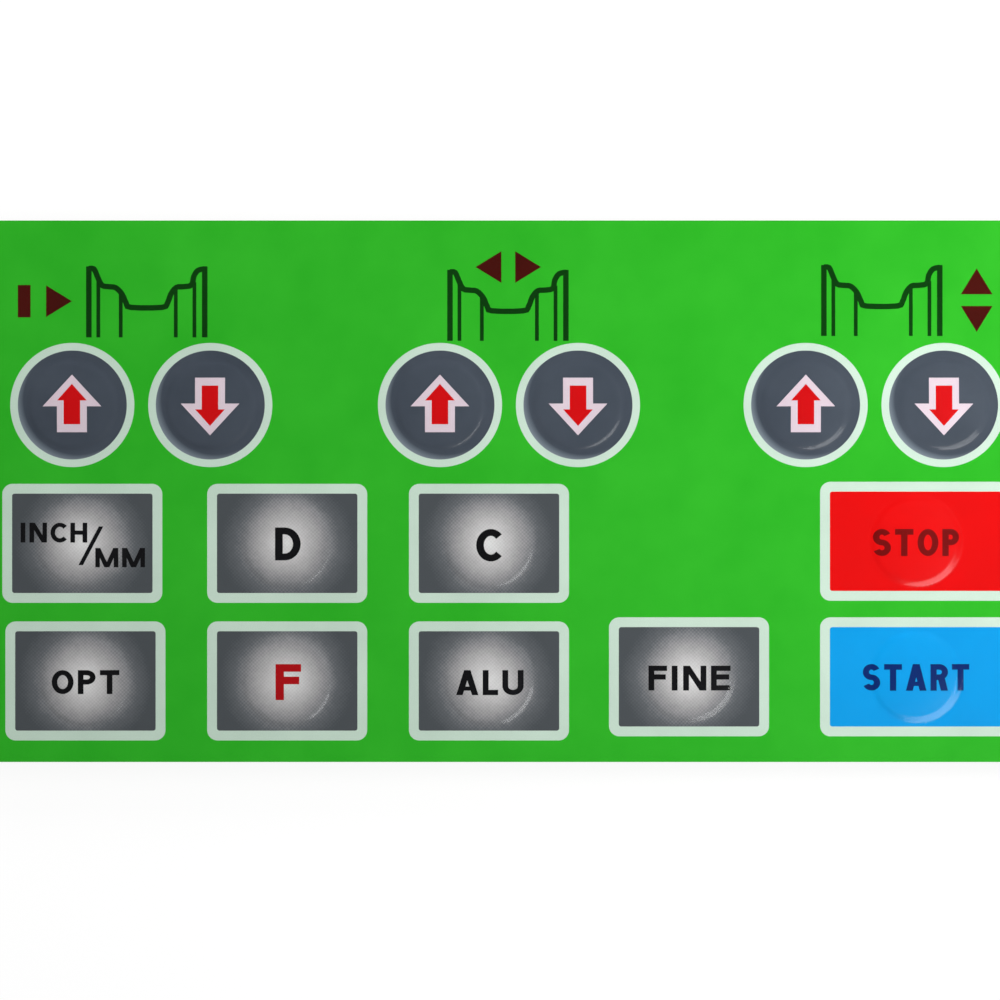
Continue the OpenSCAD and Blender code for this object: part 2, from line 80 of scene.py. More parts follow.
# Sizes of the film and its prints in millimetres, as in the part's source
PANEL_R = 2
FILM_T = 0.25
CROWN_REACH = 70
SHOULDER_R = 3.4
FOOT_R = 2.6
DISC_R = 7.9
RING_R = 9
KEY_W = 23.2
KEY_H = 17.25
WIDE_KEY_W = 27.8
BORDER_W = 1.42
BORDER_R = 1.5
FACE_R = 0.35
SIGN_PLACES = [(-60.6, 32.6), (-8.25, 32.1), (45.95, 32.8)]
SIGN_W = 16.8
SIGN_H = 10.3
EDGE_LINE = 0.8
INNER_LINE = 0.55
RIM_PROFILE = [
    (0, -0.3), (0.75, -0.4), (1.25, -1.5), (1.9, -2.75), (2.9, -2.95), (3.9, -3.1),
    (4.8, -4), (5.4, -5.3), (6.1, -5.95), (10.6, -5.95), (11.4, -5.3), (11.9, -4),
    (12.7, -3.05), (13.7, -2.95), (14.9, -2.7), (15.2, -1.5), (15.8, -0.6), (16.8, -0.35),
]
INNER_LINES = [(1.37, -1.9), (4.62, -3.7), (12.6, -3.2), (15.3, -2.3)]
TRIANGLE_L = 3.75
TRIANGLE_B = 4.6
TRIANGLES = [
    (-66.8, 27.55, 0), (-0.8, 32.5, 180), (1.2, 32.5, 0), (68.1, 28.55, 90), (68.1, 26.85, -90),
]
SIGN_BAR = (-70.9, 25.2, -69.05, 29.9)

# Clear gap between the inks and the film's underside, too small to see
FILM_GAP = 0.02

# Section of the embossed film: crown, shoulder and foot are arcs that meet on the lines
# between their centres, at slopes given as (sine, cosine)
CROWN_SLOPE = (0.07584, 0.99712)
RIM_SLOPE = (0.28, 0.96)
CROWN_R = CROWN_REACH + SHOULDER_R
EMBOSS_R = CROWN_REACH * CROWN_SLOPE[0] + (SHOULDER_R + FOOT_R) * RIM_SLOPE[0]
SHOULDER_X = CROWN_REACH * CROWN_SLOPE[0]
SHOULDER_Z = FOOT_R - (SHOULDER_R + FOOT_R) * RIM_SLOPE[1]
CROWN_Z = SHOULDER_Z - CROWN_REACH * CROWN_SLOPE[1]


def rise(r, offset):
    """Level and outward slant of the film at distance r from a dome's middle, for a surface
    that lies offset above the film's lower face."""
    if r >= EMBOSS_R:
        return offset, 0.0
    crown = CROWN_R + offset
    if r < crown * CROWN_SLOPE[0]:
        return CROWN_Z + math.sqrt(crown * crown - r * r), r / crown
    shoulder = SHOULDER_R + offset
    reach = r - SHOULDER_X
    if reach < shoulder * RIM_SLOPE[0]:
        return SHOULDER_Z + math.sqrt(shoulder * shoulder - reach * reach), reach / shoulder
    foot = FOOT_R - offset
    reach = EMBOSS_R - r
    return FOOT_R - math.sqrt(foot * foot - reach * reach), reach / foot


# Flat shapes in millimetres, all counter-clockwise


def rectangle(x0, y0, x1, y1):
    return [(x0, y0), (x1, y0), (x1, y1), (x0, y1)]


def circle(x, y, r, steps):
    turn = 2 * math.pi / steps
    return [(x + r * math.cos(i * turn), y + r * math.sin(i * turn)) for i in range(steps)]


def rounded(x, y, w, h, r, steps=10):
    """Rectangle with round corners about a middle."""
    loop = []
    corners = [(1, -1, -90), (1, 1, 0), (-1, 1, 90), (-1, -1, 180)]
    for sx, sy, start in corners:
        for i in range(steps + 1):
            a = math.radians(start + 90 * i / steps)
            px = x + sx * (w / 2 - r) + r * math.cos(a)
            py = y + sy * (h / 2 - r) + r * math.sin(a)
            loop.append((px, py))
    return loop


def moved(loop, x, y, flip=False):
    """The loop about another middle, turned upside down if flip is set."""
    if flip:
        return [(x + px, y - py) for px, py in reversed(loop)]
    return [(x + px, y + py) for px, py in loop]


def arrow(head, tip, barb, stem, foot):
    return [
        (0, tip), (-head, barb), (-stem, barb), (-stem, foot),
        (stem, foot), (stem, barb), (head, barb),
    ]


OUTER_ARROW = arrow(4.25, 4.4, -0.2, 2.17, -3.95)
INNER_ARROW = arrow(2.15, 3.05, 0.65, 1.2, -2.8)


def triangle(x, y, degrees):
    c, s = math.cos(math.radians(degrees)), math.sin(math.radians(degrees))
    corners = [(0, -TRIANGLE_B / 2), (TRIANGLE_L, 0), (0, TRIANGLE_B / 2)]
    return [(x + c * px - s * py, y + s * px + c * py) for px, py in corners]


def smooth_line(points, steps):
    """Catmull-Rom curve through points."""
    line = []
    last = len(points) - 1
    for i in range(last):
        a, b, c, d = (np.array(points[min(max(j, 0), last)]) for j in (i - 1, i, i + 1, i + 2))
        for k in range(steps):
            t = k / steps
            line.append(0.5 * (2 * b + (c - a) * t + (2 * a - 5 * b + 4 * c - d) * t * t
                               + (3 * b - a - 3 * c + d) * t * t * t))
    line.append(np.array(points[last]))
    return line


def line_along(points, w):
    """Strip of even width along points, with mitred corners."""
    points = [np.array(p, dtype=float) for p in points]
    padded = [2 * points[0] - points[1]] + points + [2 * points[-1] - points[-2]]
    left, right = [], []
    for before, here, after in zip(padded, padded[1:], padded[2:]):
        a = (here - before) / np.linalg.norm(here - before)
        b = (after - here) / np.linalg.norm(after - here)
        side = np.array([-a[1] - b[1], a[0] + b[0]])
        side = side * w / np.dot(side, side)
        left.append(tuple(here + side))
        right.append(tuple(here - side))
    return right + left[::-1]


def rim_section(x, y):
    """Cross-section of a wheel rim: profile, two edge lines and four inner lines."""
    profile = [(x + p[0], y + p[1]) for p in smooth_line(RIM_PROFILE, steps=3)]
    loops = [line_along(profile, EDGE_LINE)]
    for edge in (x, x + SIGN_W):
        loops.append(rectangle(edge - EDGE_LINE / 2, y - SIGN_H, edge + EDGE_LINE / 2, y))
    for dx, top in INNER_LINES:
        left = x + dx - INNER_LINE / 2
        loops.append(rectangle(left, y - SIGN_H, left + INNER_LINE, y + top))
    return loops


# Letters in a box one high: each is a list of loops that may overlap. A level bar is a
# little thinner than a stem, and a slanting one a little wider.

STROKE = 0.235
BAR = 0.9 * STROKE
SLANT = 1.1 * STROKE
LEG = 1.15 * STROKE
BOWL_FOOT = 0.4


def curve(x, y, rx, ry, start, end, steps=18):
    """Part of an elliptical ring, as one loop."""
    outer, inner = [], []
    for i in range(steps + 1):
        a = math.radians(start + (end - start) * i / steps)
        outer.append((x + rx * math.cos(a), y + ry * math.sin(a)))
        inner.append((x + (rx - STROKE) * math.cos(a), y + (ry - BAR) * math.sin(a)))
    return outer + inner[::-1]


def slanted(foot, top, w, high=1.0):
    """Slanting bar with level ends; foot and top are its left edge's places."""
    return [(foot, 0), (foot + w, 0), (top + w, high), (top, high)]


def lower_bar(w):
    return rectangle(0, 0, w, BAR)


def upper_bar(w):
    return rectangle(0, 1 - BAR, w, 1)


def two_stems(w):
    return [rectangle(0, 0, STROKE, 1), rectangle(w - STROKE, 0, w, 1)]


def letter_f(w):
    waist = 0.44
    arm = 0.93 * w
    return [rectangle(0, 0, STROKE, 1), upper_bar(w), rectangle(0, waist, arm, waist + BAR)]


def letter_m(w):
    mid = (w - SLANT) / 2
    return two_stems(w) + [slanted(mid, 0, SLANT), slanted(mid, w - SLANT, SLANT)]


def letter_a(w):
    mid = (w - SLANT) / 2
    low, inset, bar = 0.18, 0.2 * w, 0.7 * STROKE
    return [
        slanted(0, mid, SLANT), slanted(w - SLANT, mid, SLANT),
        rectangle(inset, low, w - inset, low + bar),
    ]


def letter_c(w):
    mouth = 42
    wide = w / (1 + math.cos(math.radians(mouth)))
    return [curve(wide, 0.5, wide, 0.5, mouth, 360 - mouth, steps=26)]


def letter_d(w):
    bowl = 0.62 * w
    return [
        rectangle(0, 0, STROKE, 1), lower_bar(w - bowl), upper_bar(w - bowl),
        curve(w - bowl, 0.5, bowl, 0.5, -90, 90),
    ]


def letter_p(w):
    bowl = 0.5 * w
    return [
        rectangle(0, 0, STROKE, 1), upper_bar(w - bowl),
        rectangle(0, BOWL_FOOT, w - bowl, BOWL_FOOT + BAR),
        curve(w - bowl, (1 + BOWL_FOOT) / 2, bowl, (1 - BOWL_FOOT) / 2, -90, 90),
    ]


def letter_r(w):
    return letter_p(w) + [slanted(w - LEG, 0.4 * w, LEG, BOWL_FOOT + BAR / 2)]


def letter_s(w):
    bowl = (1 + BAR) / 4
    mouth, tail = 25, 155
    return [
        curve(w / 2, 1 - bowl, w / 2, bowl, mouth, 270),
        curve(w / 2, bowl, w / 2, bowl, -tail, 90),
    ]


def letter_u(w):
    bend = 0.36
    return [
        rectangle(0, bend, STROKE, 1), rectangle(w - STROKE, bend, w, 1),
        curve(w / 2, bend, w / 2, bend, 180, 360),
    ]


# Loops of each capital for a given width
LETTERS = {
    "A": letter_a,
    "C": letter_c,
    "D": letter_d,
    "E": lambda w: letter_f(w) + [lower_bar(w)],
    "F": letter_f,
    "H": lambda w: two_stems(w) + [rectangle(0, (1 - BAR) / 2, w, (1 + BAR) / 2)],
    "I": lambda w: [rectangle(0, 0, STROKE, 1)],
    "L": lambda w: [rectangle(0, 0, STROKE, 1), lower_bar(w)],
    "M": letter_m,
    "N": lambda w: two_stems(w) + [slanted(w - LEG, 0, LEG)],
    "O": lambda w: [curve(w / 2, 0.5, w / 2, 0.5, a, a + 180) for a in (0, 180)],
    "P": letter_p,
    "R": letter_r,
    "S": letter_s,
    "T": lambda w: [upper_bar(w), rectangle((w - STROKE) / 2, 0, (w + STROKE) / 2, 1)],
    "U": letter_u,
}
LETTER_W = {
    "I": 0.235, "N": 0.8, "C": 0.74, "H": 0.76, "M": 1.0, "D": 0.78, "O": 0.82, "P": 0.66,
    "T": 0.72, "F": 0.64, "A": 0.84, "L": 0.58, "U": 0.8, "E": 0.68, "S": 0.7, "R": 0.72,
}
LETTER_GAP = 0.16


def word(text, x0, y0, x1, y1):
    """Loops of a word that fills a box."""
    height = y1 - y0
    widths = [LETTER_W[c] for c in text]
    total = sum(widths) + LETTER_GAP * (len(text) - 1)
    stretch = (x1 - x0) / (total * height)
    loops = []
    x = 0.0
    for c, w in zip(text, widths):
        for loop in LETTERS[c](w * stretch):
            loops.append([(x0 + (x + px) * height, y0 + py * height) for px, py in loop])
        x += (w + LETTER_GAP) * stretch
    return loops


# Legends: key, words, box about the key's middle, ink
LEGENDS = [
    (SMALL_KEYS[0], "INCH", (-8.93, 0.12, 0.78, 2.99), "legend"),
    (SMALL_KEYS[0], "MM", (1.94, -3.47, 9.09, -0.67), "legend"),
    (SMALL_KEYS[1], "D", (-1.73, -2.47, 1.99, 2.3), "legend"),
    (SMALL_KEYS[2], "C", (-1.85, -2.63, 1.86, 2.08), "legend"),
    (SMALL_KEYS[3], "OPT", (-4.84, -1.88, 4.96, 1.59), "legend"),
    (SMALL_KEYS[4], "F", (-1.66, -2.75, 2.04, 2.46), "f_legend"),
    (SMALL_KEYS[5], "ALU", (-4.75, -2.03, 5.02, 1.59), "legend"),
    (SMALL_KEYS[6], "FINE", (-5.89, -1.96, 6.01, 1.63), "legend"),
    (STOP_KEY, "STOP", (-6.26, -2.13, 6.21, 1.78), "stop_legend"),
    (START_KEY, "START", (-7.71, -1.99, 7.73, 1.86), "start_legend"),
]
SLASH = [(-0.5, -3.15), (0.15, -3.15), (3.1, 2.45), (2.45, 2.45)]

# One triangulation for the film and every ink, so that their edges meet.
# Inks from the lowest to the highest: a triangle belongs to the last one that covers it
LAYERS = [
    "green", "sign_line", "sign_arrow", "white", "slate", "grey", "stop", "start",
    "arrow_outline", "arrow", "legend", "f_legend", "stop_legend", "start_legend",
]
EMBOSS_RINGS = [6.99, 6.85, 6.7, 6.55, 6.4, 6.26, 6.1, 5.93, 5.76, 5.6, 5.45, 5.31, 4.5, 3.6, 2.6, 1.4]
RING_STEPS = [96] * 11 + [72, 60, 48, 36, 20]
# Corners of a round key's outlines, and the nearest that two points of the sheet come
DISC_STEPS = 144
POINT_GAP = 1e-4
# The map that tells a material where the nearest key is has one unit for this many millimetres
KEY_PLANE_MM = 10


def printed_loops():
    """Every printed outline with the name of its layer."""
    loops = [("green", rounded(0, 0, PANEL_W, PANEL_H, PANEL_R))]
    for i, (x, y) in enumerate(ROUND_KEYS):
        down = i % 2 == 1
        loops.append(("white", circle(x, y, RING_R, DISC_STEPS)))
        loops.append(("slate", circle(x, y, DISC_R, DISC_STEPS)))
        loops.append(("arrow_outline", moved(OUTER_ARROW, x, y, down)))
        loops.append(("arrow", moved(INNER_ARROW, x, y, down)))
    faces = [(place, KEY_W, "grey") for place in SMALL_KEYS]
    faces += [(STOP_KEY, WIDE_KEY_W, "stop"), (START_KEY, WIDE_KEY_W, "start")]
    for (x, y), w, ink in faces:
        loops.append(("white", rounded(x, y, w, KEY_H, BORDER_R)))
        inner_w, inner_h = w - 2 * BORDER_W, KEY_H - 2 * BORDER_W
        loops.append((ink, rounded(x, y, inner_w, inner_h, FACE_R, steps=4)))
    for x, y in SIGN_PLACES:
        loops += [("sign_line", loop) for loop in rim_section(x, y)]
    loops += [("sign_arrow", triangle(*place)) for place in TRIANGLES]
    loops.append(("sign_arrow", rectangle(*SIGN_BAR)))
    for (x, y), text, box, ink in LEGENDS:
        loops += [(ink, moved(loop, x, y)) for loop in word(text, *box)]
    loops.append(("legend", moved(SLASH, *SMALL_KEYS[0])))
    return loops


def triangulate(loops):
    """Points and triangles over the panel, and each triangle's layer."""
    points, edges, faces = [], [], []
    for _, loop in loops:
        start = len(points)
        points += loop
        faces.append(list(range(start, start + len(loop))))
    for x, y in KEYS:
        for r, steps in zip(EMBOSS_RINGS, RING_STEPS):
            start = len(points)
            points += circle(x, y, r, steps)
            edges += [(start + i, start + (i + 1) % steps) for i in range(steps)]
        points.append((x, y))
    inside_only = 1
    found = delaunay_2d_cdt(points, edges, faces, inside_only, POINT_GAP)
    xy, triangles, owners = found[0], found[2], found[5]
    rank = {name: i for i, name in enumerate(LAYERS)}
    layers = [max(rank[loops[f][0]] for f in owner) if owner else 0 for owner in owners]
    return [(p[0], p[1]) for p in xy], triangles, layers


XY, TRIANGLES_OF_SHEET, LAYER_OF = triangulate(printed_loops())
XY_ARRAY = np.array(XY)
KEY_ARRAY = np.array(KEYS)
AWAY = np.linalg.norm(XY_ARRAY[:, None, :] - KEY_ARRAY[None, :, :], axis=2)
NEAREST = AWAY.argmin(axis=1)
NEAREST_R = AWAY.min(axis=1)


def surface(v, offset):
    """Place (millimetres) and upward normal of point v on the surface at offset."""
    z, slant = rise(NEAREST_R[v], offset)
    x, y = XY[v]
    if slant == 0:
        return (x, y, FILM_FOOT + z), (0.0, 0.0, 1.0)
    away = (XY_ARRAY[v] - KEY_ARRAY[NEAREST[v]]) / NEAREST_R[v]
    up = math.sqrt(1 - slant * slant)
    return (x, y, FILM_FOOT + z), (away[0] * slant, away[1] * slant, up)


def made_mesh(name, points, faces, material):
    """Object from points in millimetres, riding on the part."""
    mesh = bpy.data.meshes.new(name)
    mesh.from_pydata([tuple(c * MM for c in p) for p in points], [], faces)
    mesh.polygons.foreach_set("use_smooth", [True] * len(mesh.polygons))
    mesh.materials.append(material)
    piece = bpy.data.objects.new(name, mesh)
    bpy.context.scene.collection.objects.link(piece)
    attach(piece, "root")
    return piece


def sheet(name, layers, low, high, material):
    """Closed thin piece over the triangles of some layers, between two offsets."""
    wanted = {LAYERS.index(layer) for layer in layers}
    chosen = [t for t, layer in zip(TRIANGLES_OF_SHEET, LAYER_OF) if layer in wanted]
    used = sorted({v for t in chosen for v in t})
    index = {v: i for i, v in enumerate(used)}
    count = len(used)
    tops = [surface(v, high) for v in used]
    bottoms = [surface(v, low) for v in used]
    points = [p for p, _ in tops] + [p for p, _ in bottoms]
    faces, normals = [], []
    rim = []
    for t in chosen:
        a = [index[v] for v in t]
        faces.append(a)
        normals += [tops[i][1] for i in a]
        faces.append([i + count for i in reversed(a)])
        normals += [tuple(-c for c in bottoms[i][1]) for i in reversed(a)]
        rim += [(a[i], a[(i + 1) % 3]) for i in range(3)]
    sides = set(rim)
    for a, b in rim:
        if (b, a) in sides:
            continue
        dx, dy = points[b][0] - points[a][0], points[b][1] - points[a][1]
        length = math.hypot(dx, dy)
        faces.append([a, a + count, b + count, b])
        normals += [(dy / length, -dx / length, 0.0)] * 4
    piece = made_mesh(name, points, faces, material)
    mesh = piece.data
    mesh.normals_split_custom_set(normals)
    plane = mesh.uv_layers.new(name="KeyPlane")
    for loop, uv in zip(mesh.loops, plane.data):
        v = used[loop.vertex_index % count]
        key = KEY_ARRAY[NEAREST[v]]
        uv.uv = ((XY[v][0] - key[0]) / KEY_PLANE_MM, (XY[v][1] - key[1]) / KEY_PLANE_MM)
    return piece


# Materials

WHITE = (1, 1, 1, 1)


def linear(colour):
    """sRGB 0 to 255 as linear RGBA."""
    values = [c / 255 for c in colour]
    return tuple(c / 12.92 if c <= 0.04045 else ((c + 0.055) / 1.055) ** 2.4 for c in values) + (1.0,)


class Shader:
    """Short hand for building one material's nodes."""

    def __init__(self, name, roughness=0.5, metallic=0.0, specular=0.5):
        self.material = bpy.data.materials.new(name)
        self.material.use_nodes = True
        self.tree = self.material.node_tree
        self.base = self.tree.nodes["Principled BSDF"]
        self.base.inputs["Roughness"].default_value = roughness
        self.base.inputs["Metallic"].default_value = metallic
        self.base.inputs["Specular IOR Level"].default_value = specular

    def node(self, kind, **inputs):
        made = self.tree.nodes.new(kind)
        for name, value in inputs.items():
            self.put(made.inputs[name], value)
        return made

    def put(self, socket, value):
        if isinstance(value, bpy.types.NodeSocket):
            self.tree.links.new(value, socket)
        else:
            socket.default_value = value

    def math(self, operation, a, b=0.0):
        made = self.node("ShaderNodeMath")
        made.operation = operation
        self.put(made.inputs[0], a)
        self.put(made.inputs[1], b)
        return made.outputs[0]

    def distance(self, x, y):
        return self.math("SQRT", self.math("ADD", self.math("MULTIPLY", x, x), self.math("MULTIPLY", y, y)))

    def unevenness(self, size, depth):
        """Noise about zero, up to half of depth either way."""
        return self.math("MULTIPLY", self.math("SUBTRACT", self.noise(size, detail=2), 0.5), depth)

    def place(self):
        """Object coordinates in millimetres."""
        spot = self.node("ShaderNodeTexCoord")
        scaled = self.node("ShaderNodeMapping", Vector=spot.outputs["Object"])
        scaled.inputs["Scale"].default_value = (1 / MM, 1 / MM, 1 / MM)
        return scaled.outputs["Vector"]

    def key_plane(self):
        """Coordinates about the nearest key's middle, in millimetres."""
        plane = self.node("ShaderNodeUVMap")
        plane.uv_map = "KeyPlane"
        scaled = self.node("ShaderNodeMapping", Vector=plane.outputs["UV"])
        scaled.inputs["Scale"].default_value = (KEY_PLANE_MM, KEY_PLANE_MM, 1)
        split = self.node("ShaderNodeSeparateXYZ", Vector=scaled.outputs["Vector"])
        return split.outputs["X"], split.outputs["Y"]

    def noise(self, size, detail=3.0, stretch=None):
        """Noise with features about size millimetres across."""
        place = self.place()
        if stretch:
            mapped = self.node("ShaderNodeMapping", Vector=place)
            mapped.inputs["Scale"].default_value = stretch
            place = mapped.outputs["Vector"]
        made = self.node("ShaderNodeTexNoise", Vector=place, Scale=1 / size, Detail=detail)
        return made.outputs["Fac"]

    def ramp(self, factor, stops):
        """Colour ramp through (place, sRGB colour) stops."""
        made = self.node("ShaderNodeValToRGB", Fac=factor)
        elements = made.color_ramp.elements
        while len(elements) < len(stops):
            elements.new(0.5)
        for element, (place, colour) in zip(elements, stops):
            element.position = place
            element.color = linear(colour)
        return made.outputs["Color"]

    def mottle(self, dark, light, size, detail=4, stretch=None):
        """Two close colours in soft patches about size millimetres across."""
        return self.ramp(self.noise(size, detail, stretch), [(0.3, dark), (0.7, light)])

    def mix(self, factor, a, b):
        made = self.node("ShaderNodeMix")
        made.data_type = "RGBA"
        self.put(made.inputs["Factor"], factor)
        self.put(made.inputs["A"], a)
        self.put(made.inputs["B"], b)
        return made.outputs["Result"]

    def colour(self, value):
        self.put(self.base.inputs["Base Color"], value)

    def rough(self, factor, low, high):
        made = self.node("ShaderNodeMapRange", Value=factor)
        made.inputs["To Min"].default_value = low
        made.inputs["To Max"].default_value = high
        self.put(self.base.inputs["Roughness"], made.outputs["Result"])

    def bump(self, height, distance, strength):
        made = self.node("ShaderNodeBump", Height=height, Strength=strength, Distance=distance * MM)
        self.tree.links.new(made.outputs["Normal"], self.base.inputs["Normal"])


INK_SPECULAR = 0.06
INK_ROUGH = (0.38, 0.48)


def ink(name, colour, deeper):
    """Screen-printed ink: one colour, with the slight unevenness of the print."""
    shader = Shader(name, specular=INK_SPECULAR)
    shader.colour(shader.mottle(deeper, colour, size=9))
    shader.rough(shader.noise(size=3), *INK_ROUGH)
    shader.bump(shader.noise(size=0.25, detail=2), distance=0.004, strength=0.15)
    return shader.material


# Grey print of the small keys: a halftone that fades from the middle to the corners.
# About the dome's rim the fade is set lighter than the print alone, as painted highlight where the rim
# catches light.
# Depths are shares of the fade.
HALFTONE_PERIOD = 0.54
HALFTONE_DEPTH = 0.045
WANDER = (7, 0.14)
SPECKLE = (0.7, 0.08)
GREY_REACH = 12.0
GREY_STOPS = [
    (0.0, (226, 226, 225)), (0.22, (197, 196, 196)), (0.385, (164, 163, 164)), (0.53, (125, 127, 130)),
    (0.62, (99, 103, 107)), (0.8, (78, 83, 87)),
]


def halftone_grey():
    shader = Shader("grey_halftone_ink", roughness=0.42, specular=INK_SPECULAR)
    x, y = shader.key_plane()
    fade = shader.math("DIVIDE", shader.distance(x, y), GREY_REACH)
    tone = shader.math("ADD", fade, shader.unevenness(*WANDER))
    turn = 2 * math.pi / HALFTONE_PERIOD
    rows = shader.math("COSINE", shader.math("MULTIPLY", x, turn))
    files = shader.math("COSINE", shader.math("MULTIPLY", y, turn))
    dots = shader.math("MULTIPLY", shader.math("MULTIPLY", rows, files), HALFTONE_DEPTH)
    screened = shader.math("ADD", tone, dots)
    shader.colour(shader.ramp(shader.math("ADD", screened, shader.unevenness(*SPECKLE)), GREY_STOPS))
    return shader.material


# Pale crescent inside the ring: the ring's own reflection in the film, moved up and right
GHOST_COLOUR = (128, 140, 150)
GHOST_SHIFT = (0.8, 0.7)
GHOST_START = DISC_R - 0.05
GHOST_END = DISC_R + 1.1


def slate_ink():
    shader = Shader("slate_ink", specular=INK_SPECULAR)
    x, y = shader.key_plane()
    dx = shader.math("SUBTRACT", x, GHOST_SHIFT[0])
    dy = shader.math("SUBTRACT", y, GHOST_SHIFT[1])
    crescent = shader.node("ShaderNodeMapRange", Value=shader.distance(dx, dy))
    crescent.inputs["From Min"].default_value = GHOST_START
    crescent.inputs["From Max"].default_value = GHOST_END
    body = shader.mottle((66, 74, 85), (74, 82, 93), size=8, detail=3)
    shader.colour(shader.mix(crescent.outputs["Result"], body, linear(GHOST_COLOUR)))
    shader.rough(shader.noise(size=3), *INK_ROUGH)
    return shader.material


FILM_ROUGH = (0.15, 0.21)
FILM_IOR = 1.5
FILM_WAVES = 180


def clear_film():
    """Clear glossy film: a mirror-like face over what lies below it."""
    material = bpy.data.materials.new("clear_film")
    material.use_nodes = True
    nodes, links = material.node_tree.nodes, material.node_tree.links
    nodes.remove(nodes["Principled BSDF"])
    clear = nodes.new("ShaderNodeBsdfTransparent")
    clear.inputs["Color"].default_value = WHITE
    place = nodes.new("ShaderNodeTexCoord")
    noise = nodes.new("ShaderNodeTexNoise")
    noise.inputs["Scale"].default_value = FILM_WAVES
    links.new(place.outputs["Object"], noise.inputs["Vector"])
    rough = nodes.new("ShaderNodeMapRange")
    rough.inputs["To Min"].default_value, rough.inputs["To Max"].default_value = FILM_ROUGH
    links.new(noise.outputs["Fac"], rough.inputs["Value"])
    gloss = nodes.new("ShaderNodeBsdfGlossy")
    gloss.inputs["Color"].default_value = WHITE
    links.new(rough.outputs["Result"], gloss.inputs["Roughness"])
    # Only the outer side of each face mirrors, so the film's rear adds no second reflection
    fresnel = nodes.new("ShaderNodeFresnel")
    fresnel.inputs["IOR"].default_value = FILM_IOR
    facing = nodes.new("ShaderNodeNewGeometry")
    outside = nodes.new("ShaderNodeMath")
    outside.operation = "SUBTRACT"
    outside.inputs[0].default_value = 1
    links.new(facing.outputs["Backfacing"], outside.inputs[1])
    mirrored = nodes.new("ShaderNodeMath")
    mirrored.operation = "MULTIPLY"
    links.new(fresnel.outputs["Fac"], mirrored.inputs[0])
    links.new(outside.outputs[0], mirrored.inputs[1])
    mix = nodes.new("ShaderNodeMixShader")
    links.new(mirrored.outputs[0], mix.inputs["Fac"])
    links.new(clear.outputs[0], mix.inputs[1])
    links.new(gloss.outputs[0], mix.inputs[2])
    links.new(mix.outputs[0], nodes["Material Output"].inputs["Surface"])
    return material


def foam():
    shader = Shader("foam", roughness=0.9, specular=0.25)
    cells = shader.node("ShaderNodeTexVoronoi", Vector=shader.place(), Scale=2.6)
    shader.colour(shader.ramp(cells.outputs["Distance"], [(0.0, (16, 16, 18)), (0.6, (46, 46, 50))]))
    shader.bump(cells.outputs["Distance"], distance=0.12, strength=0.6)
    return shader.material


def solder_mask():
    """Green mask on the board's faces and the laminate's cut edge."""
    shader = Shader("solder_mask_board")
    mask = shader.mottle((8, 88, 52), (12, 102, 60), size=14)
    laminate = shader.mottle(
        (150, 146, 98), (190, 186, 136), size=0.5, detail=2, stretch=(6, 6, 0.6),
    )
    facing = shader.node("ShaderNodeNewGeometry")
    split = shader.node("ShaderNodeSeparateXYZ", Vector=facing.outputs["True Normal"])
    flat = shader.math("GREATER_THAN", shader.math("ABSOLUTE", split.outputs["Z"]), 0.5)
    shader.colour(shader.mix(flat, laminate, mask))
    shader.rough(shader.noise(size=5), low=0.28, high=0.42)
    shader.bump(shader.noise(size=0.8, detail=2), distance=0.01, strength=0.25)
    return shader.material


def masked_copper():
    shader = Shader("masked_copper", roughness=0.33)
    shader.colour(shader.mottle((22, 130, 76), (32, 148, 88), size=10))
    shader.bump(shader.noise(size=0.6, detail=2), distance=0.008, strength=0.25)
    return shader.material


def metal(name, dark, light, rough, grain=0.4, stretch=None):
    shader = Shader(name, metallic=1.0)
    marks = shader.noise(grain, detail=4, stretch=stretch)
    shader.colour(shader.ramp(marks, [(0.25, dark), (0.75, light)]))
    shader.rough(marks, *rough)
    return shader.material


def plastic(name, dark, light, roughness):
    shader = Shader(name)
    patch = 4
    shader.colour(shader.mottle(dark, light, patch))
    shader.rough(shader.noise(patch / 3), low=roughness - 0.06, high=roughness + 0.08)
    shader.bump(shader.noise(size=0.3, detail=2), distance=0.006, strength=0.3)
    return shader.material


# Film and inks: each ink's piece, layer, material and slot
INKS = [
    ("green_ink", "green", ink("green_ink", (50, 186, 39), (42, 178, 33)), "green_ink"),
    ("border_ink", "white", ink("border_ink", (206, 228, 212), (198, 220, 204)), "white_ink"),
    (
        "arrow_outline_ink", "arrow_outline",
        ink("arrow_outline_ink", (225, 209, 218), (217, 200, 210)), "white_ink",
    ),
    ("grey_ink", "grey", halftone_grey(), "grey_ink"),
    ("slate_ink", "slate", slate_ink(), "slate_ink"),
    ("red_ink", "stop", ink("red_ink", (227, 1, 3), (221, 1, 2)), "red_ink"),
    # The arrows take the STOP face's red ink, set darker here as painted shade.
    ("arrow_ink", "arrow", ink("arrow_ink", (213, 3, 9), (203, 2, 7)), "red_ink"),
    ("blue_ink", "start", ink("blue_ink", (2, 159, 229), (1, 153, 223)), "blue_ink"),
    ("sign_line_ink", "sign_line", ink("sign_line_ink", (0, 64, 2), (0, 56, 2)), "sign_line_ink"),
    ("sign_arrow_ink", "sign_arrow", ink("sign_arrow_ink", (76, 9, 2), (66, 7, 1)), "sign_arrow_ink"),
    ("legend_ink", "legend", ink("legend_ink", (14, 14, 18), (8, 8, 11)), "sign_line_ink"),
    ("f_legend_ink", "f_legend", ink("f_legend_ink", (186, 6, 18), (172, 4, 14)), "red_ink"),
    ("stop_legend_ink", "stop_legend", ink("stop_legend_ink", (121, 1, 1), (110, 1, 1)), "sign_arrow_ink"),
    ("start_legend_ink", "start_legend", ink("start_legend_ink", (0, 42, 114), (0, 35, 100)), "blue_ink"),
]
for piece_name, layer_name, piece_material, piece_slot in INKS:
    sheet(piece_name, [layer_name], -INK_T, 0, piece_material)
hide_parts("green_print")
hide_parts("white_print")
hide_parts("grey_print")
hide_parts("slate_print")
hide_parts("red_print")
